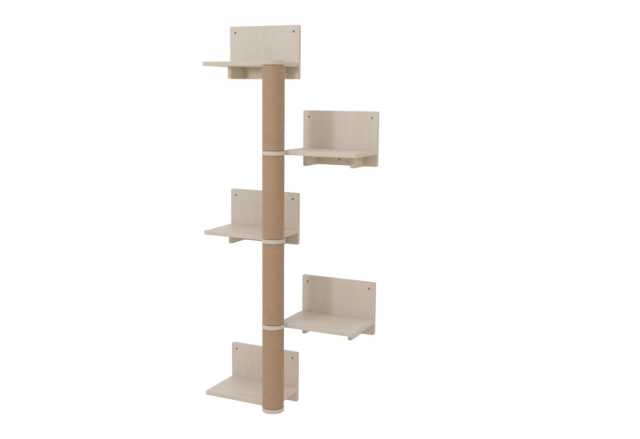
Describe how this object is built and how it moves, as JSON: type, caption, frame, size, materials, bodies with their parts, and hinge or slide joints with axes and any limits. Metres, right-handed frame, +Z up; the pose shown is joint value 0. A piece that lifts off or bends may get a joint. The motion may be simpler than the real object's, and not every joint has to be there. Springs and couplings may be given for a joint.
{
  "type": "cat wall shelf",
  "caption": "Wall-mounted cat climbing shelf: plywood steps with back plates and brackets, left and right in turn, clamped between posts wound with sisal rope.",
  "frame": {"origin": "on the wall plane, midway between the two upper wall holes of the lowest step", "axes": "+X to the right along the wall, +Y into the wall, +Z up along the post"},
  "size_m": [0.62, 0.27, 1.46],
  "materials": {
    "birch_plywood": "satin",
    "sisal": "matte",
    "cardboard_tube": "matte",
    "beech": "matte",
    "zinc_plated_steel": "satin"
  },
  "bodies": {
    "root": {"back_plate_1": "birch_plywood", "back_plate_2": "birch_plywood", "back_plate_3": "birch_plywood", "back_plate_4": "birch_plywood", "back_plate_5": "birch_plywood", "shelf_board_1": "birch_plywood", "shelf_board_2": "birch_plywood", "shelf_board_3": "birch_plywood", "shelf_board_4": "birch_plywood", "shelf_board_5": "birch_plywood", "bracket_outer_1": "birch_plywood", "bracket_inner_1": "birch_plywood", "bracket_outer_2": "birch_plywood", "bracket_inner_2": "birch_plywood", "bracket_outer_3": "birch_plywood", "bracket_inner_3": "birch_plywood", "bracket_outer_4": "birch_plywood", "bracket_inner_4": "birch_plywood", "bracket_outer_5": "birch_plywood", "bracket_inner_5": "birch_plywood", "plate_screws_1": "zinc_plated_steel", "plate_screws_2": "zinc_plated_steel", "plate_screws_3": "zinc_plated_steel", "plate_screws_4": "zinc_plated_steel", "plate_screws_5": "zinc_plated_steel", "bracket_dowels_1": "beech", "bracket_dowels_2": "beech", "bracket_dowels_3": "beech", "bracket_dowels_4": "beech", "bracket_dowels_5": "beech", "post_tube_1": "cardboard_tube", "post_tube_2": "cardboard_tube", "post_tube_3": "cardboard_tube", "post_tube_4": "cardboard_tube", "sisal_rope_1": "sisal", "sisal_rope_2": "sisal", "sisal_rope_3": "sisal", "sisal_rope_4": "sisal", "lower_plug_1": "beech", "lower_plug_2": "beech", "lower_plug_3": "beech", "lower_plug_4": "beech", "upper_plug_1": "beech", "upper_plug_2": "beech", "upper_plug_3": "beech", "upper_plug_4": "beech", "flanged_nuts_1": "zinc_plated_steel", "flanged_nuts_2": "zinc_plated_steel", "flanged_nuts_3": "zinc_plated_steel", "flanged_nuts_4": "zinc_plated_steel", "joining_stud_2": "zinc_plated_steel", "joining_stud_3": "zinc_plated_steel", "joining_stud_4": "zinc_plated_steel", "bottom_bolt": "zinc_plated_steel", "top_bolt": "zinc_plated_steel"}
  },
  "joints": []
}
